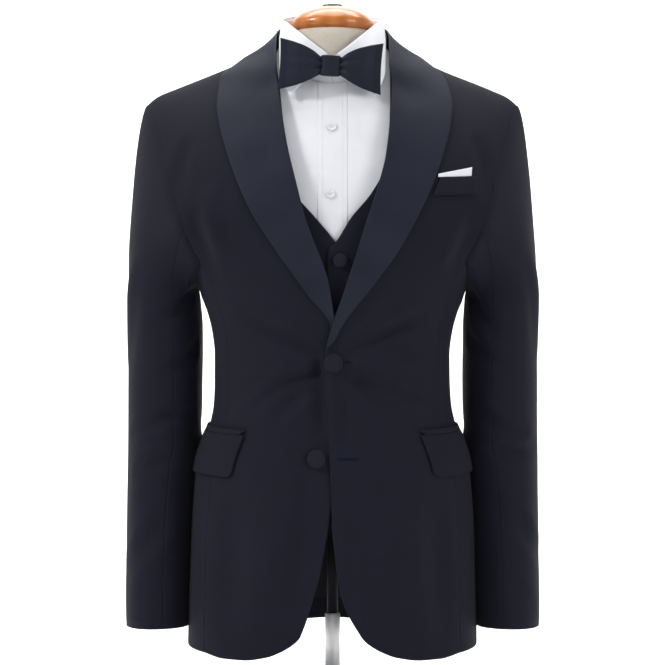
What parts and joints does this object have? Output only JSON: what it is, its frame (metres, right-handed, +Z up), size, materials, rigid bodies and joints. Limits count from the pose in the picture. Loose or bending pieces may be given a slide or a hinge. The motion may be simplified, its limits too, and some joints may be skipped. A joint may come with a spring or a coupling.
{
  "type": "tuxedo on a dress form",
  "caption": "Shawl-collar dinner jacket with waistcoat, shirt, bow tie and pocket square, worn by a limbless dress form on a short stand",
  "frame": {"origin": "centre of the underside of the round base", "axes": "+Z up, the garment faces -Y, the wearer's left is +X"},
  "size_m": [0.5126, 0.3, 0.8733],
  "materials": {
    "wool": "matt navy worsted wool",
    "waistcoat_wool": "matt navy worsted wool",
    "satin": "navy satin with a soft sheen",
    "lining": "smooth dark grey lining",
    "cotton": "fine white cotton",
    "shirt_button": "polished white",
    "calico": "natural calico",
    "wood": "varnished",
    "metal": "polished"
  },
  "bodies": {
    "root": {"back_lining": "lining", "bow_back_left": "satin", "bow_back_right": "satin", "bow_front_left": "satin", "bow_front_right": "satin", "bow_knot": "satin", "breast_pocket_welt": "wool", "form_base": "metal", "form_knob": "metal", "form_neck_cap": "wood", "form_pole": "metal", "form_torso": "calico", "jacket_back_left": "wool", "jacket_back_right": "wool", "jacket_button_lower": "wool", "jacket_button_top": "wool", "jacket_collar_stand": "wool", "jacket_front_left": "wool", "jacket_front_right": "wool", "jacket_side_left": "wool", "jacket_side_right": "wool", "pocket_flap_left": "wool", "pocket_flap_right": "wool", "pocket_jet_left": "wool", "pocket_jet_right": "wool", "pocket_square": "cotton", "shawl_collar_left": "satin", "shawl_collar_right": "satin", "shirt_back": "cotton", "shirt_button_1": "shirt_button", "shirt_button_2": "shirt_button", "shirt_collar_fall_left": "cotton", "shirt_collar_fall_right": "cotton", "shirt_collar_stand": "cotton", "shirt_front_left": "cotton", "shirt_front_right": "cotton", "shirt_placket": "cotton", "sleeve_top_left": "wool", "sleeve_top_right": "wool", "sleeve_under_left": "wool", "sleeve_under_right": "wool", "waistcoat_back": "waistcoat_wool", "waistcoat_button_1": "waistcoat_wool", "waistcoat_button_2": "waistcoat_wool", "waistcoat_button_3": "waistcoat_wool", "waistcoat_button_4": "waistcoat_wool", "waistcoat_button_5": "waistcoat_wool", "waistcoat_front_left": "waistcoat_wool", "waistcoat_front_right": "waistcoat_wool"}
  },
  "joints": []
}
